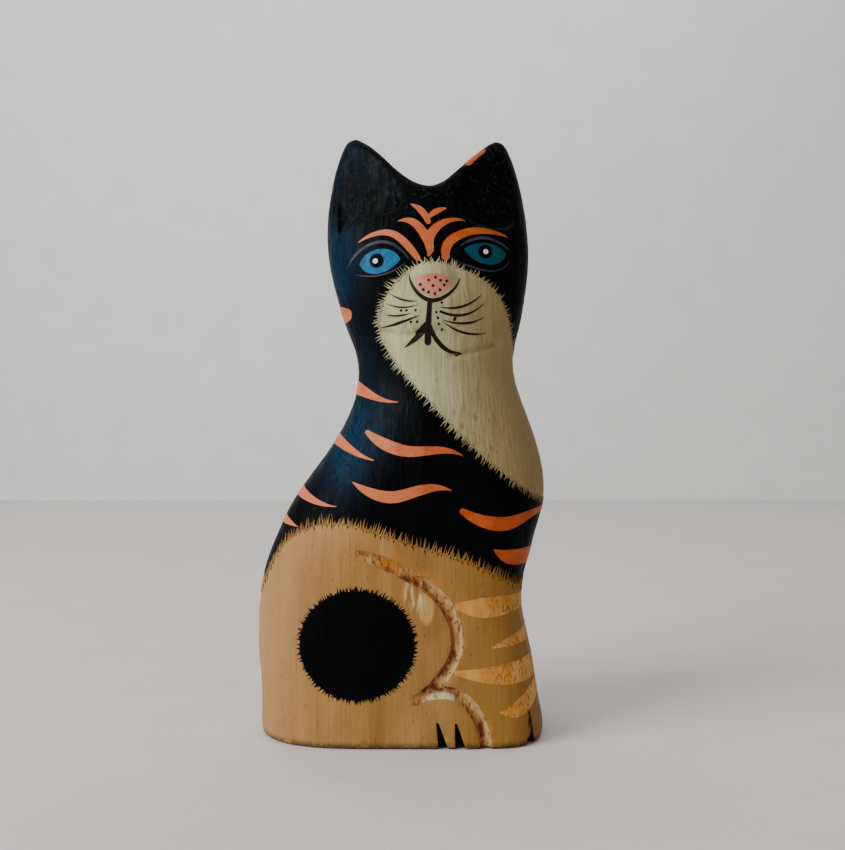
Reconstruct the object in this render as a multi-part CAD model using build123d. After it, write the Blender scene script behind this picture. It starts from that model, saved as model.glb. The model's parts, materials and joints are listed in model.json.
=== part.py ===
from build123d import *
from math import cos, hypot, pi, sin
import os

# A carved and painted wooden cat, sitting side-on with its head turned to the front.
# It is one block of soft wood, sawn from a thick plank and rounded, and it carries thin coats of
# paint: three ground coats, and over them the stripes, the eyes, the nose and the whiskers.
# Frame: +Z up, +X the way the cat's chest points, -Y the painted front. Millimetres.
# The origin is the middle of the flat base.

# ---------------------------------------------------------------- driving dimensions
HEIGHT = 200.4                 # ear tips above the base
PAINT = 0.2                    # thickness of one coat of paint
PAINT_FOOT = 0.9               # the coats stop this far above the base
BASE_CHAMFER = 0.6
SECTION_POINTS = 24            # points round each cross-section
DEPTH_POWER = 2.2              # squareness of the cross-sections, front to back
GOUGE_RADIUS = 2.0             # round gouge that cut the haunch line and the paw line
TOE_CUT_FLOOR = 22.9           # how far from the middle plane the toe cuts reach
TOE_CUT_SET_IN = 6.0           # how much deeper the toe cut on the rounded chest edge is
REACH = 70.0                   # longer than anything that a cutter or a mask has to pass through
ROOM = 280.0                   # a box bigger than the whole figure

# Cross-sections of the block, evenly spaced upwards from the base. Columns: back edge, chest edge,
# depth to the front, depth to the rear, middle of the widest depth, and how square the section is
# towards the back edge and towards the chest.
STATION_STEP = 12
STATIONS = (
    (-46.5, 47.0, 25.0, 25.0, -2, 3.4, 8.0),
    (-47.2, 46.4, 25.0, 25.0, -2, 3.4, 8.0),
    (-48.0, 44.5, 25.0, 25.0, -2, 3.4, 7.0),
    (-48.5, 42.0, 25.0, 25.0, -2, 3.3, 5.8),
    (-47.5, 40.8, 25.0, 25.0, -1, 3.2, 4.9),
    (-44.8, 43.4, 25.0, 25.0, 0.5, 3.0, 4.3),
    (-39.7, 46.8, 24.8, 24.8, 2, 2.8, 3.7),
    (-32.6, 48.5, 24.2, 24.2, 5, 2.6, 3.0),
    (-23.9, 46.4, 23.2, 23.2, 8, 2.3, 2.5),
    (-17.3, 42.3, 21.9, 21.9, 9.5, 2.1, 2.2),
    (-14.5, 38.5, 20.9, 20.6, 10, 2.0, 2.0),
    (-16.9, 39.0, 21.4, 20.4, 10, 2.0, 2.0),
    (-21.1, 41.6, 22.4, 20.9, 10, 2.0, 2.0),
    (-24.1, 43.1, 22.4, 20.8, 9.8, 2.0, 2.0),
    (-25.2, 43.0, 20.9, 19.7, 9.3, 2.2, 2.2),
    (-24.4, 41.4, 18.0, 17.2, 9, 2.3, 2.3),
    (-21.9, 38.4, 13.9, 13.5, 9, 2.5, 2.5),
    (-17.6, 33.4, 9.0, 8.8, 9, 2.5, 2.5),
)

# Top outline of the head (x, z): left ear tip, the dip between the ears, right ear tip.
CROWN = (
    (-30, 195), (-21.5, 196.6), (-19.3, 199.6), (-17, HEIGHT), (-13.8, 199.3), (-6, 192.6), (2.2, 184.6),
    (9.8, 181.6), (18.3, 187.2), (26.9, 195.4), (30.6, 198.7), (33, 199.8), (35.3, 198.6), (37.6, 194.5),
    (44, 188),
)

# Swellings on the front, as centres and radii: the muzzle, and the bridge of the nose over it.
MUZZLE = ((10.2, -11, 142), (20, 13.6, 14.5))
NOSE_BRIDGE = ((10.4, -20.4, 149.4), (7.6, 4.3, 8))

# The pared hollows of the ears: three points of the flat (x, y, z), then its outline (x, z).
LEFT_EAR_FLAT = ((2, -17.9, 174), (-21, -10.6, 163), (-17, -6.7, 198))
LEFT_EAR = ((-20, 163.6), (-11, 170.8), (-0.5, 174.6), (-3, 182), (-14, 194.5), (-18, 195), (-21.4, 178))
RIGHT_EAR_FLAT = ((17, -17.9, 173), (38, -10.8, 169), (33, -7.3, 197))
RIGHT_EAR = ((18.5, 173.4), (24, 168.8), (37, 169), (37.2, 180), (33, 194), (29, 192.5), (21, 182.5))

# Gouge lines: (x, z, how far the tool's centre is out). The haunch line runs down from the rump
# and hooks under the thigh; the paw line rounds the foot.
HAUNCH_LINE = (
    (-16, 62.5, 26.3), (-7, 60, 25.6), (3, 55.3, 25.4), (12, 49, 25.3), (17.4, 40, 25.3), (17.8, 31, 25.3),
    (13.5, 23, 25.3), (8.5, 17.8, 25.7), (3.5, 15, 26.9),
)
PAW_LINE = (
    (3, 15.4, 26.9), (11, 18, 25.6), (17.5, 17.6, 25.4), (22.4, 14, 25.4), (25.6, 8.5, 25.4),
    (27.8, -1, 25.4),
)

# Toe cuts: (x, z) corners, and the distance of the cut's floor from the middle plane.
TOE_CUTS = (
    (((11.8, 9), (15.6, -1), (12.5, -1)), TOE_CUT_FLOOR),
    (((17.7, 8.6), (21.2, -1), (17.9, -1)), TOE_CUT_FLOOR),
    (((41.3, 11.6), (43.4, -1), (40.9, -1)), TOE_CUT_FLOOR - TOE_CUT_SET_IN),
)

# ---------------------------------------------------------------- outlines and cutters


def edge_at(x, z):
    """A point of the figure's side-on drawing, on the middle plane."""
    return (x, 0, z)


def smooth_area(*points):
    """A closed area with a smooth outline through points (x, z)."""
    return Face(Wire(Spline(*[edge_at(*point) for point in points], periodic=True)))


def dot(x, z, diameter):
    """A round spot of paint."""
    return Plane((x, 0, z), z_dir=(0, -1, 0)) * Circle(diameter / 2)


def oval(centre, half_width, half_height):
    """An upright oval area, given as its middle (x, z) and its half sizes."""
    return Plane(edge_at(*centre), z_dir=(0, -1, 0)) * Ellipse(half_width, half_height)


def brush_stroke(*stations):
    """A closed area along a middle line. Each station is (x, z, width); width 0 is a pointed end."""
    last = len(stations) - 1
    upper, lower = [], []
    for i, (x, z, width) in enumerate(stations):
        before, after = stations[max(i - 1, 0)], stations[min(i + 1, last)]
        run, rise = after[0] - before[0], after[1] - before[1]
        half = width / 2 / hypot(run, rise)
        upper.append(edge_at(x - rise * half, z + run * half))
        lower.append(edge_at(x + rise * half, z - run * half))
    edges = [Spline(*upper), Spline(*lower)]
    for end, neighbour in ((0, 1), (last, last - 1)):
        x, z, width = stations[end]
        if width:
            run, rise = x - stations[neighbour][0], z - stations[neighbour][1]
            bulge = width / 2 / hypot(run, rise)
            tip = edge_at(x + run * bulge, z + rise * bulge)
            edges.append(ThreePointArc(upper[end], tip, lower[end]))
    return Face(Wire(edges))


def through(area, side="around"):
    """The area as a mask that runs front to back, or over the front or the rear half only."""
    mask = Part()
    if side != "rear":
        mask += extrude(area, amount=REACH, dir=(0, -1, 0))
    if side != "front":
        mask += extrude(area, amount=REACH, dir=(0, 1, 0))
    return mask


def front_and_rear(solid):
    return solid + mirror(solid, about=Plane.XZ)


def cross_section(level, station, grow):
    back_edge, chest_edge, front, rear, middle, back_power, chest_power = station
    points = []
    for i in range(SECTION_POINTS):
        along, across = cos(2 * pi * i / SECTION_POINTS), sin(2 * pi * i / SECTION_POINTS)
        half_length = chest_edge - middle if along > 0 else middle - back_edge
        power = chest_power if along > 0 else back_power
        depth = (rear if across > 0 else front) + grow
        y = depth * max(0, 1 - abs(along) ** power) ** (1 / DEPTH_POWER)
        points.append((middle + (half_length + grow) * along, y if across > 0 else -y, level * STATION_STEP))
    turns = [i / SECTION_POINTS for i in range(SECTION_POINTS + 1)]
    return Face(Wire(Edge.make_spline(points, periodic=True, parameters=turns)))


def ellipsoid(centre, radii, grow):
    return Pos(*centre) * scale(Sphere(1), by=tuple(radius + grow for radius in radii))


def crown_cutter(grow):
    """Everything above the ears and the dip between them."""
    lift = [(x, z + grow) for x, z in CROWN]
    crown = Spline(*[edge_at(*point) for point in lift])
    above = HEIGHT + REACH
    (first_x, first_z), (last_x, last_z) = lift[0], lift[-1]
    corners = ((last_x, last_z), (last_x, above), (first_x, above), (first_x, first_z))
    frame = Polyline(*[edge_at(*corner) for corner in corners])
    return through(Face(Wire([crown, *frame.edges()])))


def ear_facet(flat, outline, grow):
    """The flat hollow pared into the front of one ear, through three points, inside an outline."""
    facet = Plane(Face(Wire.make_polygon(flat)))
    if facet.z_dir.Y > 0:
        facet = Plane(facet.origin, z_dir=-facet.z_dir)
    shaving = facet.offset(grow) * Pos(0, 0, REACH / 2) * Box(REACH, REACH, REACH)
    return shaving & through(smooth_area(*outline), "front")


def gouge(*stations):
    """A round-bottomed groove on the front. Each station is (x, z, how far the tool's centre is out)."""
    path = Spline(*[(x, -out, z) for x, z, out in stations])
    tool = Plane(path @ 0, z_dir=path % 0) * Circle(GOUGE_RADIUS)
    return sweep(tool, path)


def figure(grow):
    """The rounded block with its ears and muzzle, with every face moved out by grow."""
    block = loft([cross_section(level, station, grow) for level, station in enumerate(STATIONS)])
    block += ellipsoid(*MUZZLE, grow)
    block += ellipsoid(*NOSE_BRIDGE, grow)
    block -= crown_cutter(grow)
    block -= ear_facet(LEFT_EAR_FLAT, LEFT_EAR, grow)
    block -= ear_facet(RIGHT_EAR_FLAT, RIGHT_EAR, grow)
    return block


def toe_wedge(corners, floor, depth=REACH):
    area = make_face(Polyline(*[edge_at(*corner) for corner in corners], close=True))
    return Pos(0, -floor, 0) * extrude(area, amount=depth, dir=(0, -1, 0))


def carving():
    """Every groove and cut made after the block was rounded, on the front and on the rear."""
    cuts = gouge(*HAUNCH_LINE) + gouge(*PAW_LINE)
    for corners, floor in TOE_CUTS:
        cuts += toe_wedge(corners, floor)
    return front_and_rear(cuts)


# ---------------------------------------------------------------- paint outlines
# The saddle of black ends in a line across the haunch; below it the coat is tan.
TAN_TOP = (
    (-75, 49), (-46, 50.5), (-38, 64.7), (-25, 71.5), (-12, 70.6), (2, 65.8), (20, 60.5), (41, 49.8),
    (75, 48),
)

# The pale bib covers the muzzle and runs down the throat to the chest edge.
BIB_LEFT = (
    (75, 78), (47, 79), (33.8, 87.2), (17.6, 101.7), (6.4, 113.9), (-2.7, 125.1), (-7.2, 135.5), (-4, 146),
    (3.5, 153.6), (10.5, 155.6),
)
BIB_RIGHT = ((10.5, 155.6), (20, 153.4), (31.8, 145.7), (37, 133), (40, 121.5), (75, 121.5))
BIB_REAR_EDGE = ((75, 79), (47.5, 81), (42, 95), (38, 109), (37.5, 124), (75, 125))

THIGH_SPOT = ((-13.8, 33.1), 17.3, 18.4)

BROWS = {
    "brow_stripe_left": (
        (-14.3, 162.4, 0), (-9.5, 164.8, 1.3), (-3.5, 165.3, 2.1), (2, 161.4, 2.5), (5.6, 156.8, 1.8),
    ),
    "brow_stripe_right": (
        (35.5, 164.8, 0), (28.5, 166.2, 1.8), (20.5, 165.1, 2.6), (15.2, 161.2, 3.1), (14.6, 157.4, 2.6),
    ),
}
FOREHEAD_BLAZE = (
    ((-1, 169, 0), (3.9, 168.8, 2.3), (8.4, 163.4, 2.9), (9.6, 160, 2.4), (8.7, 157, 0)),
    ((21.3, 169.1, 0), (13.9, 168.5, 2.1), (9.8, 164.5, 3.1), (9.6, 159.6, 2.5)),
)
CROWN_BLAZE = (
    ((3, 174.9, 0), (6.1, 173.2, 1.9), (9, 168.9, 1.8)),
    ((15.2, 173.4, 0), (12, 172.5, 1.8), (9.8, 171, 1.5), (8.8, 169.6, 0)),
)
EYES = {
    "left": {
        "iris": ((-13.5, 155.7, 0), (-9.5, 155.8, 7.2), (-3.5, 156.7, 6.3), (0.1, 156.5, 0)),
        "pupil": (-7.7, 156.4, 4.5),
        "glint": (-8.2, 156.3, 1.6),
        "upper_lid": ((-17.7, 154.3, 0), (-11, 161.3, 1), (-5.3, 162.4, 1), (1.4, 158.4, 0.7), (3, 156, 0)),
        "lower_lid": ((-15.7, 152.8, 0), (-7.2, 151.6, 0.6), (2.1, 155.6, 0)),
    },
    "right": {
        "iris": ((20.6, 160, 0), (24, 159.3, 5.1), (30.7, 158.6, 6.2), (34.6, 158.9, 0)),
        "pupil": (27.6, 159.4, 4.4),
        "glint": (27.8, 159.4, 1.6),
        "upper_lid": (
            (18.8, 160.6, 0), (21.7, 162.4, 0.8), (26.9, 163.9, 0.9), (32.7, 162.5, 0.7), (36.2, 160.4, 0),
        ),
        "lower_lid": ((17.2, 156, 0), (26.1, 153.5, 0.6), (30.4, 153.3, 0.5), (36, 157.2, 0)),
    },
}
NOSE_PAD = (
    (4.8, 149.5), (6.1, 147.1), (8.2, 145), (10.5, 144.2), (13.1, 145), (15.2, 147), (16.5, 149.5),
    (14.4, 151.1), (10.6, 151.5), (6.9, 151.1),
)
NOSE_FRECKLES = ((9.1, 149.4), (11.3, 150.3), (13, 149.3), (15, 149.2), (14.2, 147.9), (6.4, 148),
                 (10.5, 147.6), (7.4, 146.4), (9.1, 145.6), (12.8, 146.3), (11.1, 145.1))
FRECKLE_DIAMETER = 0.9
NOSE_AND_MOUTH = (
    ((3, 152, 0), (5, 146.2, 1.1), (9.8, 143, 1.4), (15.3, 144.9, 1), (19.4, 152, 0)),
    ((9.6, 143, 1.5), (9.1, 136.5, 1.8), (8.9, 130, 2.2)),
    ((8.8, 136, 1.2), (6.7, 133.2, 2.2), (2.8, 129.3, 0.9), (0.8, 128, 0)),
    ((9.4, 135.6, 1), (11.3, 131.3, 1.4), (15.4, 127.3, 1.3), (20.2, 126.3, 0)),
)
WHISKERS = {
    "whiskers_left": (
        ((-3.5, 145.9, 0), (2.1, 143, 0.6), (5.8, 142.9, 0)),
        ((-4.8, 142.6, 0), (0.5, 140.9, 0.5), (6.1, 141.8, 0)),
        ((-5.2, 139, 0), (0, 138.3, 0.5), (3.9, 139.2, 0)),
        ((-6.7, 134.7, 0), (-0.5, 136, 0.8), (6.5, 138.4, 0)),
    ),
    "whiskers_right": (
        ((12, 141, 0), (18.5, 140.8, 0.7), (26.5, 145.6, 0)),
        ((13, 139.4, 0.8), (19.8, 138.4, 0.7), (27.5, 143.1, 0)),
        ((13.5, 136.9, 0), (20.6, 135.9, 0.6), (27.5, 138.4, 0)),
        ((13.8, 136.2, 0), (20.3, 133.1, 0.7), (28.4, 133.2, 0)),
    ),
}
WHISKER_DOTS = (
    (0.2, 139.9), (2, 139.9), (4.9, 139.9), (3.4, 136.2), (5.4, 136.2), (13.3, 142.3), (11.6, 139.2),
    (12.1, 137.4), (12.4, 135.5), (13.5, 133.8), (17.7, 137.4), (17.4, 136.9),
)
WHISKER_DOT_DIAMETER = 0.8

# Stripes that lie on one side only, and stripes that fold round the back edge or the chest edge.
SIDE_STRIPES = {
    "shoulder_stripe_upper": (
        (-10.6, 100.9, 1.6), (-4.4, 96.9, 3.8), (3.1, 94.8, 3.5), (13, 95.2, 2.2), (20.6, 93.1, 0),
    ),
    "shoulder_stripe_lower": (
        (-15.6, 85.3, 0), (-9.1, 81.6, 3.1), (-3, 80.3, 3.8), (6, 82.4, 3.2), (16.8, 82.2, 0),
    ),
}
WRAPPED_STRIPES = {
    "cheek_spot": ((-34, 140.8, 7), (-22, 140.4, 6.4), (-18.6, 139.9, 4.4)),
    "neck_stripe": ((-34, 118.8, 7), (-14.2, 115.6, 4.2), (-7, 111.9, 1.8), (0.4, 110.8, 0)),
    "back_stripe_upper": ((-36, 107, 5), (-21, 98.6, 3.7), (-13, 93.6, 1.5), (-7, 91.7, 0)),
    "back_stripe_middle": ((-50, 91, 6), (-35, 82.5, 4), (-28.5, 79, 2.2), (-19.8, 77.2, 0)),
    "back_stripe_lower": ((-55, 80.5, 5), (-39.5, 72.4, 3), (-33.5, 70.2, 0)),
    "chest_stripe_upper": ((20, 75.8, 2), (26.5, 72.6, 3.9), (35, 71.7, 4.3), (41.6, 73.8, 3), (60, 71, 2)),
    "chest_stripe_lower": ((29.9, 63.6, 0), (37, 60.5, 5.1), (44, 60.8, 5), (60, 60.5, 5)),
    "leg_stripe_1": ((18.8, 45.6, 2.6), (28, 45, 6.6), (35.5, 45.4, 5.8), (55, 43, 3)),
    "leg_stripe_2": ((28.7, 32, 0), (36, 33.8, 3.1), (55, 36.5, 3)),
    "leg_stripe_3": ((18, 24.5, 1.6), (25.2, 23.7, 4.3), (35, 23.7, 6.7), (55, 27, 3)),
    "leg_stripe_4": ((31.7, 12, 0), (37, 12, 4.6), (43, 15.8, 5.2), (58, 22, 5)),
}
EAR_SPOT = ((22.4, 190.6, 3), (24.6, 192.6, 4.4), (26.8, 194.9, 3))

# ---------------------------------------------------------------- wood
CARVING = carving()


def wood_body():
    block = figure(0)
    base_edges = block.edges().filter_by_position(Axis.Z, -0.01, 0.01)
    block = chamfer(base_edges, BASE_CHAMFER)
    return block - CARVING


# ---------------------------------------------------------------- paint
def above_foot():
    """Everything from where the paint begins, a little above the base."""
    return Pos(0, 0, PAINT_FOOT) * Box(ROOM, ROOM, ROOM, align=(Align.CENTER, Align.CENTER, Align.MIN))


def paint_layers(count):
    """Shells of paint round the carved shape, each one coat thick and seated on the one below."""
    shapes = [figure(PAINT * level) for level in range(count + 1)]
    layers = {level: shapes[level] - shapes[level - 1] for level in range(1, count + 1)}
    layers[1] = (layers[1] - CARVING) & above_foot()
    return layers


def closed_area(*curves):
    """The area inside open curves that meet end to end, closed by a straight line."""
    edges = [Spline(*[edge_at(*point) for point in curve]) for curve in curves]
    start, end = curves[0][0], curves[-1][-1]
    if start != end:
        edges.append(Line(edge_at(*end), edge_at(*start)))
    return Face(Wire(edges))


def tan_mask():
    start, end = TAN_TOP[0], TAN_TOP[-1]
    skirt = Polyline(edge_at(*end), edge_at(end[0], -REACH), edge_at(start[0], -REACH), edge_at(*start))
    top = Spline(*[edge_at(*point) for point in TAN_TOP])
    return through(Face(Wire([top, *skirt.edges()])))


def bib_mask():
    front = through(closed_area(BIB_LEFT, BIB_RIGHT), "front")
    rear = through(closed_area(BIB_REAR_EDGE), "rear")
    return front + rear


def strokes(areas, side):
    mask = Part()
    for area in areas:
        mask += through(area, side)
    return mask


def toe_cut_paint():
    """Black paint on the floor of each toe cut."""
    films = Part()
    for corners, floor in TOE_CUTS:
        films += toe_wedge(corners, floor, PAINT)
    return front_and_rear(films) & above_foot()


def paint_coats():
    """Every coat of paint by name."""
    layers = paint_layers(4)
    tan, bib = tan_mask(), bib_mask()
    coats = {
        "tan_coat": layers[1] & tan,
        "bib_coat": (layers[1] - tan) & bib,
        "black_coat": layers[1] - tan - bib,
        "toe_cut_paint": toe_cut_paint(),
    }

    def lay(name, level, side, *areas):
        coats[name] = layers[level] & strokes(areas, side)

    lay("thigh_spot_front", 2, "front", oval(*THIGH_SPOT))
    lay("thigh_spot_rear", 2, "rear", oval(*THIGH_SPOT))
    for name, line in BROWS.items():
        lay(name, 2, "front", brush_stroke(*line))
    lay("forehead_blaze", 2, "front", *[brush_stroke(*line) for line in FOREHEAD_BLAZE])
    lay("crown_blaze", 2, "front", *[brush_stroke(*line) for line in CROWN_BLAZE])
    for eye, marks in EYES.items():
        lay(f"iris_{eye}", 2, "front", brush_stroke(*marks["iris"]))
        lids = [brush_stroke(*marks[lid]) for lid in ("upper_lid", "lower_lid")]
        lay(f"lid_lines_{eye}", 2, "front", *lids)
        lay(f"pupil_{eye}", 3, "front", dot(*marks["pupil"]))
        lay(f"glint_{eye}", 4, "front", dot(*marks["glint"]))
    lay("nose_and_mouth_line", 2, "front", *[brush_stroke(*line) for line in NOSE_AND_MOUTH])
    lay("nose_pad", 2, "front", smooth_area(*NOSE_PAD))
    lay("nose_freckles", 3, "front", *[dot(x, z, FRECKLE_DIAMETER) for x, z in NOSE_FRECKLES])
    for name, lines in WHISKERS.items():
        lay(name, 2, "front", *[brush_stroke(*line) for line in lines])
    lay("whisker_dots", 2, "front", *[dot(x, z, WHISKER_DOT_DIAMETER) for x, z in WHISKER_DOTS])
    for name, line in SIDE_STRIPES.items():
        lay(f"{name}_front", 2, "front", brush_stroke(*line))
        lay(f"{name}_rear", 2, "rear", brush_stroke(*line))
    for name, line in WRAPPED_STRIPES.items():
        lay(name, 2, "around", brush_stroke(*line))
    lay("ear_spot", 2, "around", brush_stroke(*EAR_SPOT))
    return coats


if __name__ == "__main__":
    os.makedirs("parts", exist_ok=True)
    export_step(wood_body(), "parts/wood_body.step")
    for coat, solids in paint_coats().items():
        export_step(solids, f"parts/{coat}.step")
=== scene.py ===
import json
import math
import random

import bpy
import numpy as np
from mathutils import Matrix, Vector, noise
from mathutils.bvhtree import BVHTree


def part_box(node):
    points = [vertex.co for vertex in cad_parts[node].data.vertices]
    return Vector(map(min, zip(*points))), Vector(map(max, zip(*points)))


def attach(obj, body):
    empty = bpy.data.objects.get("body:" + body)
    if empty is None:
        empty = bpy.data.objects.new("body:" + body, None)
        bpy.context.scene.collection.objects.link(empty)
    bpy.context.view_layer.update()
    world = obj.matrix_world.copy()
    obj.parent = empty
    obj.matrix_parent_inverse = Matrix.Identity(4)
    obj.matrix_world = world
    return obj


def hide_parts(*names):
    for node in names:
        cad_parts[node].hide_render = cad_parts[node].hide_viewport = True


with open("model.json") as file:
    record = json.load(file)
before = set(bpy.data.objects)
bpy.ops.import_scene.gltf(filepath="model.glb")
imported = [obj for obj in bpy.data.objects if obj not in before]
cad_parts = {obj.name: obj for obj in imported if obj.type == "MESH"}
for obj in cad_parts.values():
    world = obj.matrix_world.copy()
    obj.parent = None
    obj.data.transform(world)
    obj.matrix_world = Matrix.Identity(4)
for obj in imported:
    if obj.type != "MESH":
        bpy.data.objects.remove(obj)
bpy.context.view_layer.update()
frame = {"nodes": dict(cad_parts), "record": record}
NODES = frame["nodes"]
SLOTS = {part["node"]: part["material_slot"] for part in frame["record"]["subparts"]}
BODY = "root"
MM = 0.001

# ---------------------------------------------------------------- driving values
VOXEL = 0.8 * MM                # size of the sculpted surface's cells
COAT = 0.1 * MM                 # thickness of one coat of paint
FEEL = 1.6 * MM                 # how far along its normal a point looks for the coat that covers it
HAIR_SPACING = 0.62 * MM
CAMERA_LENS, CAMERA_SENSOR = 42.3529, 36    # mm
CAMERA_AT = Vector((7.2, -342.7, 101.7)) * MM
CAMERA_SHIFT_UP = 0.00588       # share of the image
rng = random.Random(7)


# ---------------------------------------------------------------- mesh tools
def points_of(mesh):
    co = np.empty(len(mesh.vertices) * 3)
    mesh.vertices.foreach_get("co", co)
    return co.reshape(-1, 3)


def triangles_of(mesh):
    mesh.calc_loop_triangles()
    tris = np.empty(len(mesh.loop_triangles) * 3, int)
    mesh.loop_triangles.foreach_get("vertices", tris)
    return tris.reshape(-1, 3)


def edges_of(tris):
    pairs = np.sort(np.concatenate([tris[:, [0, 1]], tris[:, [1, 2]], tris[:, [2, 0]]]), axis=1)
    return np.unique(pairs, axis=0)


def normals_of(co, tris):
    face = np.cross(co[tris[:, 1]] - co[tris[:, 0]], co[tris[:, 2]] - co[tris[:, 0]])
    out = np.zeros_like(co)
    for corner in range(3):
        np.add.at(out, tris[:, corner], face)
    return out / np.maximum(np.linalg.norm(out, axis=1, keepdims=True), 1e-20)


def relax(co, edges, weight, rounds):
    """Moves every point part of the way to the mean of its neighbours."""
    count = np.bincount(edges.ravel(), minlength=len(co))[:, None]
    for _ in range(rounds):
        total = np.zeros_like(co)
        np.add.at(total, edges[:, 0], co[edges[:, 1]])
        np.add.at(total, edges[:, 1], co[edges[:, 0]])
        co = co + weight[:, None] * (total / np.maximum(count, 1) - co)
    return co


def make_piece(name, co, faces, node, material):
    """A finished piece of the figure: it rides on the body in place of its CAD node; the node argument is
    not used.
    """
    mesh = bpy.data.meshes.new(name)
    mesh.from_pydata([tuple(p) for p in co], [], [tuple(int(i) for i in f) for f in faces])
    mesh.validate()
    mesh.update()
    mesh.polygons.foreach_set("use_smooth", [True] * len(mesh.polygons))
    piece = bpy.data.objects.new(name, mesh)
    bpy.context.scene.collection.objects.link(piece)
    mesh.materials.append(material)
    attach(piece, BODY)
    return piece


# ---------------------------------------------------------------- the carved surface
WELD = 1e-6                     # points closer than this are one point


def remeshed(node):
    """The node's shape as an even mesh, as points and triangles."""
    work = bpy.data.objects.new("work", NODES[node].data.copy())
    bpy.context.scene.collection.objects.link(work)
    weld = work.modifiers.new("weld", "WELD")
    weld.merge_threshold = WELD
    remesh = work.modifiers.new("remesh", "REMESH")
    remesh.mode = "VOXEL"
    remesh.voxel_size = VOXEL
    triangulate = work.modifiers.new("triangulate", "TRIANGULATE")
    triangulate.min_vertices = 4
    shape = work.evaluated_get(bpy.context.evaluated_depsgraph_get()).to_mesh()
    co, tris = points_of(shape), triangles_of(shape)
    bpy.data.objects.remove(work)
    return co, tris


FRONT_FROM = -8 * MM            # points with a lower y are on the painted front


def near_line(co, line, reach):
    """How close each front point is to a line of (x, z) points in mm: 1 on it, falling to 0."""
    best = np.full(len(co), 1e9)
    for (x0, z0), (x1, z1) in zip(line, line[1:]):
        start, run = np.array((x0, z0)) * MM, np.array((x1 - x0, z1 - z0)) * MM
        offset = co[:, [0, 2]] - start
        share = np.clip(offset @ run / (run @ run), 0, 1)
        best = np.minimum(best, np.linalg.norm(offset - share[:, None] * run, axis=1))
    close = np.exp(-((best / (reach * MM)) ** 2))
    return np.where(co[:, 1] < FRONT_FROM, close, 0)


# Creases under the jaw, as (x, z) in mm, and the ridge down the throat.
JAW_LINES = (((-6.5, 133.6), (0, 132), (6.4, 132.8)), ((16.7, 125.8), (24.2, 127), (31, 129.8)))
JAW_DEPTH, JAW_REACH = 0.9 * MM, 0.8
KEEL_X, KEEL_LOW, KEEL_HIGH = 7.4 * MM, 74 * MM, 116 * MM
KEEL_HEIGHT, KEEL_REACH, KEEL_FADE = 1.3 * MM, 7 * MM, 8 * MM

# Rounding: the ears are worn much rounder than the rest, and the sawn foot stays sharp.
CROWN_FROM, CROWN_FADE = 176 * MM, 4 * MM
FOOT_TO, FOOT_FADE = 3 * MM, 2 * MM
ROUNDING, CROWN_ROUNDING, CROWN_SOFTENING = 0.35, 0.3, 0.6
ROUNDING_PASSES, CROWN_PASSES = 5, 14

# The knife's flat facets and the fine unevenness of hand-carved wood.
FACETS_ACROSS, FACETS_UP = 70, 45
FACET_DEPTH, FACET_MIDDLE = 0.16 * MM, 0.25
ROUGH_SCALE, ROUGH_DEPTH = 500, 0.05 * MM


def carve(co, tris):
    """Rounds the edges, then adds the knife's facets, the creases under the jaw and the keel."""
    edges = edges_of(tris)
    height = co[:, 2]
    crown = np.clip((height - CROWN_FROM) / CROWN_FADE, 0, 1)
    foot = np.clip((FOOT_TO - height) / FOOT_FADE, 0, 1)
    co = relax(co, edges, (ROUNDING + CROWN_ROUNDING * crown) * (1 - foot), ROUNDING_PASSES)
    co = relax(co, edges, CROWN_SOFTENING * crown, CROWN_PASSES)
    normals = normals_of(co, tris)
    push = np.zeros(len(co))
    for line in JAW_LINES:
        push -= JAW_DEPTH * near_line(co, line, JAW_REACH)
    rising = np.clip((co[:, 2] - KEEL_LOW) / KEEL_FADE, 0, 1)
    falling = np.clip((KEEL_HIGH - co[:, 2]) / KEEL_FADE, 0, 1)
    keel = np.exp(-np.abs(co[:, 0] - KEEL_X) / KEEL_REACH) * (co[:, 1] < 0)
    push += KEEL_HEIGHT * (rising * falling) * keel
    for i, point in enumerate(co):
        at = Vector((point[0] * FACETS_ACROSS, point[1] * FACETS_ACROSS, point[2] * FACETS_UP))
        nearest, second = noise.voronoi(at)[0][:2]
        push[i] += FACET_DEPTH * (second - nearest - FACET_MIDDLE)
        push[i] += ROUGH_DEPTH * noise.noise(Vector(point) * ROUGH_SCALE)
    push *= 1 - foot
    return co + normals * push[:, None]


body_co, body_tris = remeshed("wood_body")
body_co = carve(body_co, body_tris)
body_co[:, 2] = np.maximum(body_co[:, 2], 0)
body_normals = normals_of(body_co, body_tris)
SURFACE = BVHTree.FromPolygons(body_co.tolist(), body_tris.tolist())


# ---------------------------------------------------------------- coats of paint
CLOSE = 2.6 * MM                # points this near a coat's CAD solid may carry it
BOX_MARGIN = 1.2 * MM + FEEL


def tree_of(node):
    mesh = NODES[node].data
    return BVHTree.FromPolygons(points_of(mesh).tolist(), triangles_of(mesh).tolist())


def close_to(tree, point, reach=CLOSE):
    return tree.find_nearest(Vector(point), reach)[0] is not None


def covered(tree, point, normal):
    """Whether the coat's CAD solid lies over or just under this point of the wood."""
    start = Vector(point) + Vector(normal) * FEEL
    return tree.ray_cast(start, -Vector(normal), 2 * FEEL)[0] is not None


def patch_near(node):
    """The triangles of the carved surface in and just round a node's box."""
    low, high = [np.array(corner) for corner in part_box(node)]
    inside = ((body_co > low - BOX_MARGIN) & (body_co < high + BOX_MARGIN)).all(axis=1)
    return compact(body_co, body_normals, body_tris[inside[body_tris].any(axis=1)])


def compact(co, normals, tris):
    used, packed = np.unique(tris, return_inverse=True)
    return co[used], normals[used], packed.reshape(tris.shape)


BULGE = 0.25                    # how far a new point is drawn to the tangent planes beside it
BORDER_ROUNDS = 5               # halvings that find where a coat ends along an edge


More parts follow.
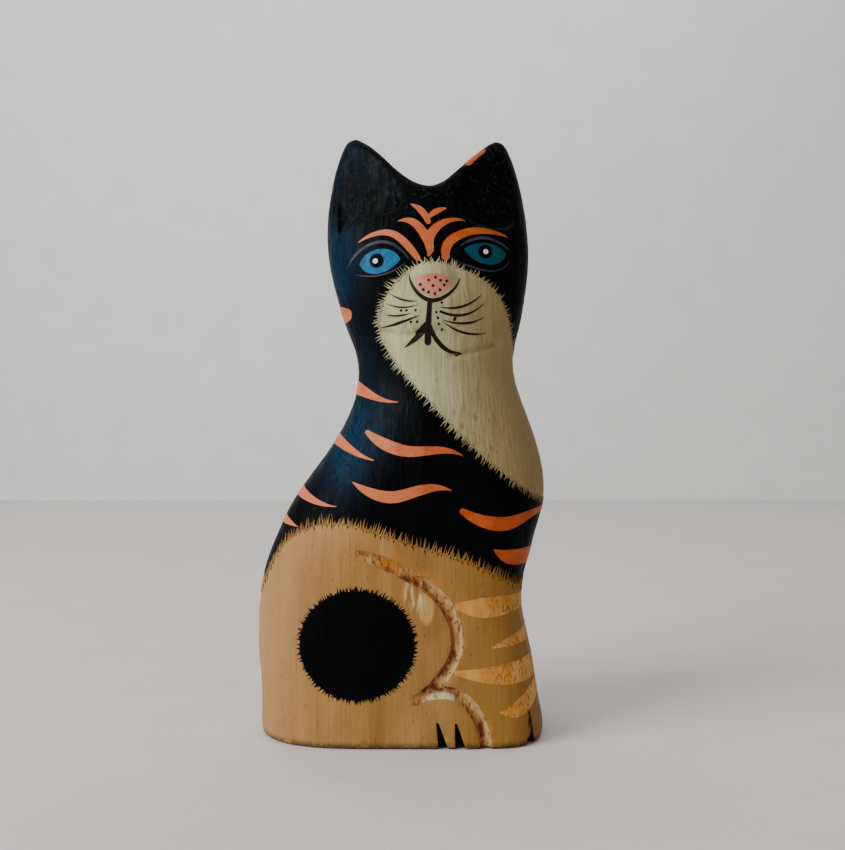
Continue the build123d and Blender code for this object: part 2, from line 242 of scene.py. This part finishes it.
def split_all(co, normals, tris):
    """Every triangle as four, with the new points on a smooth surface."""
    edges = edges_of(tris)
    index = {tuple(edge): len(co) + i for i, edge in enumerate(edges.tolist())}
    a, b = edges[:, 0], edges[:, 1]
    middle = (co[a] + co[b]) / 2
    for end in (a, b):
        lift = np.einsum("ij,ij->i", co[end] - middle, normals[end])
        middle = middle + BULGE * lift[:, None] * normals[end]
    normal = normals[a] + normals[b]
    normal /= np.maximum(np.linalg.norm(normal, axis=1, keepdims=True), 1e-20)
    out = []
    for i, j, k in tris.tolist():
        ij, jk, ki = index[min(i, j), max(i, j)], index[min(j, k), max(j, k)], index[min(k, i), max(k, i)]
        out += [(i, ij, ki), (ij, j, jk), (ki, jk, k), (ij, jk, ki)]
    return np.vstack([co, middle]), np.vstack([normals, normal]), np.array(out)


def clipped(co, normals, tris, inside_test):
    """The part of a surface that passes the test, cut exactly along its border."""
    inside = [int(inside_test(p, n)) for p, n in zip(co, normals)]
    co, normals, cuts, out = list(co), list(normals), {}, []

    def border(i, j):
        if not inside[i]:
            i, j = j, i
        if (i, j) not in cuts:
            low, high = 0.0, 1.0
            for _ in range(BORDER_ROUNDS):
                middle = (low + high) / 2
                normal = normals[i] * (1 - middle) + normals[j] * middle
                if inside_test(co[i] * (1 - middle) + co[j] * middle, normal):
                    low = middle
                else:
                    high = middle
            cuts[i, j] = len(co)
            co.append(co[i] * (1 - low) + co[j] * low)
            normals.append(normals[i] * (1 - low) + normals[j] * low)
        return cuts[i, j]

    for i, j, k in tris.tolist():
        number = inside[i] + inside[j] + inside[k]
        if number == 3:
            out.append((i, j, k))
        elif number:
            while inside[i] != (number == 1) or inside[j] == inside[i]:
                i, j, k = j, k, i
            a, b = border(i, j), border(i, k)
            out += [(i, a, b)] if number == 1 else [(a, j, k), (a, k, b)]
    return compact(np.array(co), np.array(normals), np.array(out))


def border_edges(tris):
    """The directed edges that only one triangle has."""
    directed = {}
    for i, j, k in tris.tolist():
        for edge in ((i, j), (j, k), (k, i)):
            directed[edge] = True
    return [edge for edge in directed if (edge[1], edge[0]) not in directed]


def film(co, normals, tris, level):
    """A closed shell of one coat's thickness at that level over the carved surface."""
    low, high = co + normals * COAT * (level - 1), co + normals * COAT * level
    count = len(co)
    walls = []
    for i, j in border_edges(tris):
        walls += [(j, i, i + count), (j, i + count, j + count)]
    faces = np.vstack([tris + count, tris[:, ::-1], np.array(walls).reshape(-1, 3)])
    return np.vstack([low, high]), faces


# ---------------------------------------------------------------- materials
class Look:
    """A node material under construction, in layers. Its colours come from object coordinates."""

    def __init__(self, name, roughness, specular, base):
        self.material = bpy.data.materials.new(name)
        self.material.use_nodes = True
        self.nodes, self.links = self.material.node_tree.nodes, self.material.node_tree.links
        self.shader = self.nodes["Principled BSDF"]
        self.shader.inputs["Roughness"].default_value = roughness
        self.shader.inputs["Specular IOR Level"].default_value = specular
        self.coordinates = self.nodes.new("ShaderNodeTexCoord").outputs["Object"]
        self.normal = None
        first = self.nodes.new("ShaderNodeRGB")
        first.outputs["Color"].default_value = (*base, 1)
        self.colour = first.outputs["Color"]

    def link(self, source, target):
        self.links.new(source, target)

    def stretched(self, scale, stretch):
        """Object coordinates scaled up, and drawn out along some axes."""
        mapping = self.nodes.new("ShaderNodeMapping")
        mapping.inputs["Scale"].default_value = [scale * share for share in stretch]
        self.link(self.coordinates, mapping.inputs["Vector"])
        return mapping.outputs["Vector"]

    def noise(self, scale, stretch=(1, 1, 1), detail=4.0, low=0.35, high=0.65):
        """A 0 to 1 noise whose cells are about 1 / scale metres, drawn out along some axes."""
        texture = self.nodes.new("ShaderNodeTexNoise")
        texture.inputs["Scale"].default_value = 1.0
        texture.inputs["Detail"].default_value = detail
        self.link(self.stretched(scale, stretch), texture.inputs["Vector"])
        return self.ramp(texture.outputs["Fac"], low, high)

    def spots(self, scale, stretch, low, high):
        """Small separate marks: 1 inside a mark, 0 between them."""
        texture = self.nodes.new("ShaderNodeTexVoronoi")
        texture.inputs["Scale"].default_value = 1.0
        self.link(self.stretched(scale, stretch), texture.inputs["Vector"])
        return self.ramp(texture.outputs["Distance"], high, low)

    def ramp(self, value, start, end):
        node = self.nodes.new("ShaderNodeMapRange")
        node.inputs["From Min"].default_value = start
        node.inputs["From Max"].default_value = end
        self.link(value, node.inputs["Value"])
        return node.outputs["Result"]

    def facing(self, axis, start, end):
        """0 to 1 as the carved surface turns from one direction to another, by its own normal."""
        split = self.nodes.new("ShaderNodeSeparateXYZ")
        self.link(self.nodes.new("ShaderNodeTexCoord").outputs["Normal"], split.inputs["Vector"])
        return self.ramp(split.outputs[axis], start, end)

    def patch(self, centre, radii, soft=0.5):
        """1 inside an ellipsoid given in millimetres, fading to 0 at its border."""
        mapping = self.nodes.new("ShaderNodeMapping")
        mapping.inputs["Scale"].default_value = [1 / (radius * MM) for radius in radii]
        mapping.inputs["Location"].default_value = [-c / r for c, r in zip(centre, radii)]
        self.link(self.coordinates, mapping.inputs["Vector"])
        length = self.nodes.new("ShaderNodeVectorMath")
        length.operation = "LENGTH"
        self.link(mapping.outputs["Vector"], length.inputs[0])
        return self.ramp(length.outputs["Value"], 1, 1 - soft)

    def along(self, axis, start, end):
        """0 to 1 from one place to another along an axis, in millimetres."""
        split = self.nodes.new("ShaderNodeSeparateXYZ")
        self.link(self.coordinates, split.inputs["Vector"])
        return self.ramp(split.outputs[axis], start * MM, end * MM)

    def times(self, *shares):
        """The product of several shares, which are sockets or floats, with a socket first."""
        product = shares[0]
        for share in shares[1:]:
            node = self.nodes.new("ShaderNodeMath")
            node.operation = "MULTIPLY"
            self.link(product, node.inputs[0])
            if isinstance(share, float):
                node.inputs[1].default_value = share
            else:
                self.link(share, node.inputs[1])
            product = node.outputs["Value"]
        return product

    def lay(self, colour, *shares):
        """Lays a colour over what is there, as much as the product of the shares says."""
        node = self.nodes.new("ShaderNodeMix")
        node.data_type = "RGBA"
        self.link(self.times(*shares), node.inputs["Factor"])
        self.link(self.colour, node.inputs["A"])
        node.inputs["B"].default_value = (*colour, 1)
        self.colour = node.outputs["Result"]

    def bump(self, value, depth):
        node = self.nodes.new("ShaderNodeBump")
        node.inputs["Strength"].default_value = 1.0
        node.inputs["Distance"].default_value = depth * MM
        self.link(value, node.inputs["Height"])
        if self.normal is not None:
            self.link(self.normal, node.inputs["Normal"])
        self.normal = node.outputs["Normal"]

    def finish(self, roughness=None):
        self.link(self.colour, self.shader.inputs["Base Color"])
        if roughness is not None:
            self.link(roughness, self.shader.inputs["Roughness"])
        self.link(self.normal, self.shader.inputs["Normal"])
        return self.material


GRAIN = (1.0, 1.0, 0.06)        # the wood's grain runs upwards
PORES = (1.0, 1.0, 0.28)


def wood_look():
    """Bare cut wood in the grooves: stained and torn red-brown on the near wall; paler where a wall faces
    the window, as painted light, and darker red-brown where it faces away, as painted shade.
    """
    look = Look("carved_wood", 0.75, 0.2, (0.33, 0.15, 0.035))
    look.lay((0.47, 0.28, 0.095), look.noise(380, (1, 1, 0.4)))
    # painted light and shade: paler where a wall faces the window at the left, darker red-brown where it
    # faces away from it
    look.lay((0.50, 0.34, 0.155), look.facing("X", -0.1, -0.55), 0.75)
    look.lay((0.24, 0.07, 0.012), look.facing("X", 0.1, 0.55), 0.8)
    rust = look.noise(260, (1, 1, 0.7), detail=8, low=0.36, high=0.56)
    look.lay((0.44, 0.13, 0.012), rust, look.patch((-3, -25, 58), (17, 8, 9)), 0.9)
    stain = look.noise(330, (1, 1, 0.6), detail=7, low=0.5, high=0.6)
    look.lay((0.085, 0.010, 0.004), stain, look.facing("X", -0.4, 0.25), 0.85)
    look.lay((0.12, 0.018, 0.006), look.noise(900, (1, 1, 0.5), detail=7, low=0.56, high=0.62), 0.75)
    torn = look.noise(420, (1, 1, 0.6), detail=8, low=0.40, high=0.54)
    for centre, radii in (((12.5, -25, 19.8), (8, 9, 1.6)), ((25.7, -25, 4.5), (1.6, 9, 6))):
        look.lay((0.10, 0.008, 0.003), torn, look.patch(centre, radii, 0.4), 0.95)
    # the foot's upward-facing ledge: pale bare wood with a painted highlight where it catches the light from
    # above
    lit_ledge = look.patch((13, -25, 16.3), (5.2, 9, 2.1), 0.35)
    look.lay((0.60, 0.53, 0.33), look.noise(300, low=0.32, high=0.46), lit_ledge, 0.9)
    # painted contact shadow: darker along the bottom edge, together with the chipped edge
    look.lay((0.05, 0.025, 0.01), look.along("Z", 1.4, 0.6), 0.8)
    look.bump(look.noise(800, (1, 1, 0.3), detail=7), 0.3)
    return look.finish()


def tan_look():
    """Thin tan wash over wood, torn by the haunch line, with painted light and shade across it: paler and
    pinker towards the back, where the window light falls, olive and darker towards the chest, which turns
    away from it.
    """
    look = Look("tan_coat", 0.6, 0.2, (0.262, 0.120, 0.020))
    look.lay((0.37, 0.190, 0.048), look.noise(170, GRAIN, detail=7, low=0.3, high=0.7))
    look.lay((0.46, 0.275, 0.098), look.noise(36, (1, 1, 0.7), low=0.45, high=0.7), 0.55)
    look.lay((0.185, 0.074, 0.010), look.noise(52, (1, 1, 0.4), low=0.5, high=0.75), 0.6)
    # painted light and shade: paler towards the window side at the back, darker olive where the chest turns
    # away from the light
    look.lay((0.44, 0.232, 0.100), look.along("X", -14, -40), 0.55)
    look.lay((0.285, 0.132, 0.012), look.along("X", 12, 30), 0.75)
    look.lay((0.17, 0.075, 0.006), look.along("X", 33, 44), 0.55)
    torn = look.noise(240, (1, 1, 0.5), detail=8, low=0.4, high=0.62)
    for centre, radii in (((-5, -25, 60.5), (13, 8, 3.5)), ((10, -25, 54), (7, 8, 4)),
                          ((27, -25, 6), (3, 8, 8))):
        look.lay((0.47, 0.165, 0.016), torn, look.patch(centre, radii, 0.8), 0.9)
    look.lay((0.52, 0.30, 0.090), look.patch((8.4, -25, 45.4), (2.8, 8, 6.4), 0.25), 0.8)
    fibres = look.noise(520, (1, 1, 0.16), detail=6, low=0.46, high=0.56)
    look.lay((0.62, 0.44, 0.19), fibres, look.patch((4.6, -25, 49.5), (4.2, 8, 6.6)), 0.95)
    look.lay((0.115, 0.038, 0.008), look.spots(640, PORES, 0.05, 0.15), 0.7)
    # painted contact shadow: darker and chipped along the bottom edge
    look.lay((0.03, 0.015, 0.006), look.along("Z", 2.6, 0.9), look.noise(260, low=0.3, high=0.5), 0.85)
    look.bump(look.noise(700, GRAIN, detail=6), 0.09)
    look.bump(look.noise(90, (1, 1, 0.6)), 0.2)
    return look.finish(look.ramp(look.noise(300, GRAIN), -1.9, 2.2))


# Where the black paint shows a painted blue sheen of window light: (centre, radii, how strong), in mm.
SHEEN_PATCHES = (
    ((-12, -16, 95), (22, 26, 26), 0.95),
    ((-22, -12, 156), (17, 26, 20), 0.7),
    ((-20, -6, 192), (14, 20, 16), 0.5),
    ((-12, 0, 125), (20, 30, 24), 0.35),
)


def black_look():
    """Blue-black paint put on with a stiff brush: a painted blue sheen of window light where it faces the
    back, with fine upright brush scratches showing in that painted sheen.
    """
    look = Look("black_coat", 0.42, 0.045, (0.0004, 0.0005, 0.0007))
    # painted sheen: the window light's blue reflection, in patches, on the planes that face the back
    facing = look.facing("X", -0.12, -0.5)
    patchy_sheen = look.times(look.noise(40, (1, 1, 0.5), low=0.3, high=0.62), facing)
    for centre, radii, strength in SHEEN_PATCHES:
        look.lay((0.0045, 0.0260, 0.0540), patchy_sheen, look.patch(centre, radii, 0.6), strength)
    # fine upright brush scratches, shown only as painted sheen on the planes that face the window
    brush_sheen = look.noise(1300, (1, 1, 0.10), detail=3, low=0.5, high=0.64)
    look.lay((0.0007, 0.0022, 0.0050), brush_sheen, facing, 0.75)
    worn = look.noise(1100, (1, 1, 0.6), detail=9, low=0.57, high=0.68)
    look.lay((0.013, 0.026, 0.030), worn, look.along("Z", 164, 176), 0.7)
    # rubbed paint on the upward-facing tops, with a painted highlight from the light above
    rubbed_and_highlit = look.noise(420, detail=8, low=0.35, high=0.65)
    look.lay((0.017, 0.023, 0.022), rubbed_and_highlit, look.facing("Z", 0.45, 0.8), 0.6)
    look.bump(look.noise(1000, (1, 1, 0.10), detail=3), 0.06)
    look.bump(look.noise(230, (1, 1, 0.5)), 0.12)
    return look.finish(look.ramp(look.noise(380, (1, 1, 0.3)), -1.7, 2.5))


def bib_look():
    """Off-white paint in upright strokes, greenish, with painted shade making it browner and darker towards
    the chest, which turns away from the window.
    """
    look = Look("bib_coat", 0.65, 0.15, (0.305, 0.285, 0.140))
    look.lay((0.43, 0.405, 0.225), look.noise(330, (1, 1, 0.10), detail=6))
    look.lay((0.50, 0.475, 0.300), look.noise(60, (1, 1, 0.5), low=0.45, high=0.75), 0.7)
    # painted shade: browner and darker towards the chest side, turned away from the light
    look.lay((0.275, 0.180, 0.062), look.along("X", 8, 30), 0.8)
    look.lay((0.22, 0.135, 0.040), look.along("X", 30, 47), 0.4)
    # painted highlight: a paler patch along the crease under the left side of the jaw
    look.lay((0.54, 0.52, 0.34), look.patch((-2, -24, 131.6), (6, 9, 3), 0.8), 0.6)
    look.lay((0.17, 0.125, 0.045), look.noise(900, (1, 1, 0.06), low=0.55, high=0.8), 0.5)
    look.lay((0.05, 0.028, 0.010), look.spots(520, PORES, 0.05, 0.13), 0.6)
    pitted = look.noise(700, (1, 1, 0.4), detail=8, low=0.56, high=0.66)
    look.lay((0.16, 0.095, 0.03), pitted, look.patch((22, -24, 100), (15, 14, 17)), 0.6)
    look.bump(look.noise(800, (1, 1, 0.08)), 0.12)
    return look.finish()


def stripe_look(name, base, light, dark, flecks):
    """Flat poster paint with brush streaks, a few flecks and slightly uneven cover."""
    look = Look(name, 0.52, 0.15, base)
    look.lay(light, look.noise(260, (0.4, 1, 1), detail=5))
    look.lay(dark, look.noise(120), 0.4)
    look.lay([0.3 * part for part in dark], look.spots(620, (1, 1, 0.6), 0.07, 0.15), flecks)
    look.bump(look.noise(900, (0.3, 1, 1)), 0.06)
    return look.finish()


def ochre_look():
    """Thin ochre wash: the wood's pores show through as red-brown specks, most of all near the chest."""
    look = Look("ochre_wash", 0.6, 0.15, (0.54, 0.215, 0.026))
    look.lay((0.68, 0.36, 0.085), look.noise(240, (1, 1, 0.25), detail=7, low=0.35, high=0.6))
    look.lay((0.44, 0.14, 0.010), look.noise(120), 0.5)
    pores = look.noise(1250, (1, 1, 0.5), detail=6, low=0.53, high=0.62)
    look.lay((0.22, 0.045, 0.006), pores, look.along("X", 23, 32), 0.7)
    look.bump(look.noise(900, (0.3, 1, 1)), 0.06)
    return look.finish()


def orange_look():
    """Orange paint with a painted salmon sheen of window light towards the back of the cat, deeper orange
    towards the chest.
    """
    look = Look("orange_paint", 0.5, 0.15, (0.59, 0.150, 0.066))
    # painted sheen: the salmon base is the window light's sheen on the stripes at the back; towards the
    # chest they turn deep orange
    look.lay((0.41, 0.055, 0.0008), look.along("X", -4, 20))
    look.lay((0.64, 0.185, 0.055), look.noise(300, (0.35, 1, 1), detail=6), 0.3)
    look.lay((0.30, 0.038, 0.002), look.noise(140, low=0.5, high=0.75), 0.5)
    look.lay((0.08, 0.010, 0.002), look.spots(430, (1, 1, 0.7), 0.04, 0.11), 0.7)
    look.bump(look.noise(800, (0.3, 1, 1)), 0.08)
    return look.finish()


def iris_look():
    """Blue paint with lighter dabs, with painted shade making the right eye darker than the left one."""
    look = Look("iris_paint", 0.45, 0.15, (0.0008, 0.075, 0.175))
    look.lay((0.003, 0.135, 0.27), look.noise(420, detail=5))
    # painted shade: the right eye, on the half of the face turned from the light, is darker
    look.lay((0.0004, 0.055, 0.075), look.along("X", 4, 20), 0.92)
    look.bump(look.noise(900), 0.05)
    return look.finish()


LOOKS = {
    "carved_wood": wood_look(),
    "tan_stain": tan_look(),
    "black_paint": black_look(),
    "bib": bib_look(),
    "white_paint": stripe_look("white_paint", (0.80, 0.80, 0.76), (0.88, 0.88, 0.84), (0.6, 0.6, 0.56), 0.1),
    "orange_paint": orange_look(),
    "ochre_wash": ochre_look(),
    "blue_paint": iris_look(),
    "grey_paint": stripe_look(
        "grey_paint", (0.016, 0.019, 0.030), (0.060, 0.060, 0.085), (0.001, 0.001, 0.002), 0.95),
    "brown_paint": stripe_look(
        "brown_paint", (0.008, 0.0018, 0.0014), (0.018, 0.004, 0.003), (0.002, 0.001, 0.001), 0.2),
    "pink_paint": stripe_look(
        "pink_paint", (0.52, 0.180, 0.110), (0.60, 0.26, 0.17), (0.42, 0.12, 0.065), 0.15),
}


def look_of(node):
    return LOOKS["bib"] if node == "bib_coat" else LOOKS[SLOTS[node]]


# ---------------------------------------------------------------- the pieces
GROUND = ("tan_coat", "bib_coat", "black_coat")
FINE_STEPS = {                  # how often the surface is split for a mark; the others take one
    "whiskers_left": 2, "whiskers_right": 2, "whisker_dots": 3, "nose_freckles": 3, "glint_left": 3,
    "glint_right": 3, "lid_lines_left": 2, "lid_lines_right": 2, "pupil_left": 2, "pupil_right": 2,
}
TOP_LEVEL = {"pupil_left": 3, "pupil_right": 3, "nose_freckles": 3, "glint_left": 4, "glint_right": 4}
ALL_BLACK_ABOVE = 160 * MM      # on the head every bare spot is black
TOE_REACH = 7 * MM
TOE_SHIFTS = (0, -0.3 * MM, 0.3 * MM)
EAR_SPOT_TILT = 0.4             # the ear spot keeps to the upper side of the ear's edge
borders = {}


def in_toe_cut(tree, point):
    """Whether a point lies on the walls or the floor of a toe cut, in front of its painted floor."""
    for shift in TOE_SHIFTS:
        start = Vector(point) + Vector((shift, -TOE_REACH if point[1] < 0 else TOE_REACH, 0))
        if tree.ray_cast(start, Vector((0, -start.y, 0)).normalized(), 2 * TOE_REACH)[0] is not None:
            return True
    return False


def cover_test(node, tree):
    """The question that decides whether a point of the wood carries this coat."""
    if node == "toe_cut_paint":
        return lambda p, n: in_toe_cut(tree, p)
    if node == "black_coat":
        return lambda p, n: p[2] > ALL_BLACK_ABOVE or covered(tree, p, n)
    if node == "ear_spot":
        return lambda p, n: n[2] > EAR_SPOT_TILT and covered(tree, p, n)
    return lambda p, n: covered(tree, p, n)


def coat_piece(node, level, steps):
    """Lays one coat of paint over the carved surface, inside the outline of its CAD solid."""
    tree = tree_of(node)
    co, normals, tris = patch_near(node)
    near = np.array([close_to(tree, p) for p in co])
    co, normals, tris = compact(co, normals, tris[near[tris].any(axis=1)])
    for _ in range(steps):
        co, normals, tris = split_all(co, normals, tris)
    borders[node] = clipped(co, normals, tris, cover_test(node, tree))
    piece = make_piece(f"paint_{node}", *film(*borders[node], level), node, look_of(node))
    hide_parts(node)


wood = make_piece("carved_block", body_co, body_tris, "wood_body", LOOKS["carved_wood"])
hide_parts("wood_body")
for node in SLOTS:
    if node == "wood_body":
        continue
    if node in GROUND:
        coat_piece(node, 1, 0)
    else:
        coat_piece(node, TOP_LEVEL.get(node, 2), FINE_STEPS.get(node, 1))


# ---------------------------------------------------------------- painted hairs
HAIR_LEVEL = 2
BLADE_STEPS = 4
BLADE_TAPER = 0.8
BLADE_RIDGE = 1.3               # height of a hair's raised middle over its sides, in coats
BLADE_TIP = 1.4                 # height of its tip over the wood, in coats
ROOT_DEPTH = (0.2, 0.9)         # how far inside the border a hair starts, mm
LEAN = 0.35
WIDTH_SPREAD = (0.7, 1.3)


def hair(root, direction, length, width, out):
    """One tapered brush hair that follows the surface, as a closed blade with a raised middle."""
    at, heading = Vector(root), Vector(direction).normalized()
    first = len(out[0])
    for step in range(BLADE_STEPS):
        at, normal, _, _ = SURFACE.find_nearest(at)
        heading = (heading - normal * heading.dot(normal)).normalized()
        side = heading.cross(normal)
        half = width / 2 * (1 - step / BLADE_STEPS) ** BLADE_TAPER
        base = at + normal * COAT * (HAIR_LEVEL - 1)
        out[0] += [base - side * half, base + normal * COAT * BLADE_RIDGE, base + side * half]
        at = at + heading * length / BLADE_STEPS
    at, normal, _, _ = SURFACE.find_nearest(at)
    out[0].append(at + normal * COAT * BLADE_TIP)
    tip = len(out[0]) - 1
    for step in range(BLADE_STEPS - 1):
        a = first + 3 * step
        for i, j in ((0, 1), (1, 2), (2, 0)):
            out[1] += [(a + i, a + j, a + 3 + j), (a + i, a + 3 + j, a + 3 + i)]
    last = tip - 3
    out[1] += [(last, last + 1, tip), (last + 1, last + 2, tip), (last + 2, last, tip)]
    out[1].append((first, first + 2, first + 1))


def fringe(name, node, keep, aim, lengths, width, out_look, cover):
    """Hairs along the border of a coat, where keep(point) says so, heading aim(outward)."""
    co, normals, tris = borders[node]
    blades = [[], []]
    spare = 0.0
    for i, j in border_edges(tris):
        a, b = Vector(co[i]), Vector(co[j])
        if not keep((a + b) / 2):
            continue
        outward = (b - a).cross(Vector(normals[i])).normalized()
        spare += (b - a).length / HAIR_SPACING * cover
        while spare > 0:
            spare -= 1
            root = a.lerp(b, rng.random()) - outward * rng.uniform(*ROOT_DEPTH) * MM
            lean = outward.cross(Vector(normals[i])) * rng.uniform(-LEAN, LEAN)
            length, breadth = rng.uniform(*lengths) * MM, width * rng.uniform(*WIDTH_SPREAD) * MM
            hair(root, aim(outward) + lean, length, breadth, blades)
    make_piece(name, *blades, node, out_look)


BLACK_TREE = tree_of("black_coat")
BORDER_GAP = 1.2 * MM
FRINGE_FROM = 44 * MM


def by_black(point):
    """On the border with the black coat, not on the rim of a groove or on the chest edge."""
    return point.z > FRINGE_FROM and close_to(BLACK_TREE, point, BORDER_GAP)


fringe("hairs_haunch_tan", "tan_coat", by_black, lambda out: out * 0.6 + Vector((0.12, 0, 0.7)),
       (1.4, 4.2), 0.55, LOOKS["tan_stain"], 1.2)
fringe("hairs_haunch_black", "tan_coat", by_black, lambda out: Vector((0.1, 0, -1)) - out * 0.5,
       (0.5, 1.8), 0.34, LOOKS["black_paint"], 0.4)
fringe("hairs_bib_white", "bib_coat", by_black, lambda out: out + Vector((-0.1, 0, -0.3)),
       (1.1, 3.4), 0.55, LOOKS["bib"], 1.1)
for spot_side in ("front", "rear"):
    spot = f"thigh_spot_{spot_side}"
    fringe(f"hairs_{spot}", spot, lambda p: True, lambda out: out,
           (1.0, 2.4), 0.62, LOOKS["black_paint"], 1.7)


# ---------------------------------------------------------------- studio
def plain_look(name, base, scale, depth):
    """Matt paint on a plain surface, very slightly uneven."""
    look = Look(name, 0.8, 0.5, base)
    look.lay([0.96 * part for part in base], look.noise(scale))
    look.bump(look.noise(scale * 8), depth)
    return look.finish()


def sheet_of(name, corners, material):
    mesh = bpy.data.meshes.new(name)
    mesh.from_pydata(corners, [], [(0, 1, 2, 3)])
    mesh.materials.append(material)
    sheet = bpy.data.objects.new(name, mesh)
    bpy.context.scene.collection.objects.link(sheet)


FLOOR_EDGE = 3.0                # half the width of the floor sheet
WALL_Y = 1.1                    # how far behind the figure the wall stands
sheet_of("studio_floor",
         [(-FLOOR_EDGE, -FLOOR_EDGE, 0), (FLOOR_EDGE, -FLOOR_EDGE, 0),
          (FLOOR_EDGE, FLOOR_EDGE, 0), (-FLOOR_EDGE, FLOOR_EDGE, 0)],
         plain_look("floor", (0.74, 0.70, 0.665), 30, 0.05))
sheet_of("studio_wall",
         [(-FLOOR_EDGE, WALL_Y, 0), (FLOOR_EDGE, WALL_Y, 0),
          (FLOOR_EDGE, WALL_Y, FLOOR_EDGE), (-FLOOR_EDGE, WALL_Y, FLOOR_EDGE)],
         plain_look("wall", (0.88, 0.875, 0.86), 20, 0.1))


def lamp(name, place, target, size, power, tint):
    light = bpy.data.lights.new(name, "AREA")
    light.shape = "RECTANGLE"
    light.size, light.size_y = size
    light.energy = power
    light.color = tint
    holder = bpy.data.objects.new(name, light)
    holder.location = place
    holder.rotation_euler = (Vector(target) - Vector(place)).to_track_quat("-Z", "Y").to_euler()
    bpy.context.scene.collection.objects.link(holder)


MIDDLE = (0, 0, 0.1)
lamp("window", (-0.95, -0.62, 0.62), MIDDLE, (0.7, 0.7), 17, (0.97, 0.99, 1.0))
lamp("room", (0.3, -1.3, 0.8), MIDDLE, (1.5, 1.2), 2.5, (1.0, 0.97, 0.94))
lamp("ceiling", (-0.2, -0.2, 1.5), MIDDLE, (1.6, 1.6), 6, (1, 1, 1))
lamp("wall", (0, 0.55, 1.1), (0, WALL_Y, 0.1), (1.6, 0.5), 4, (1, 1, 1))

world = bpy.data.worlds.new("studio")
world.use_nodes = True
world.node_tree.nodes["Background"].inputs["Color"].default_value = (0.9, 0.92, 0.95, 1)
world.node_tree.nodes["Background"].inputs["Strength"].default_value = 0.26
bpy.context.scene.world = world

camera_data = bpy.data.cameras.new("camera")
camera_data.sensor_width = CAMERA_SENSOR
camera_data.lens = CAMERA_LENS
camera_data.shift_y = CAMERA_SHIFT_UP
camera = bpy.data.objects.new("camera", camera_data)
camera.location = CAMERA_AT
camera.rotation_euler = (math.pi / 2, 0, 0)
bpy.context.scene.collection.objects.link(camera)
bpy.context.scene.camera = camera
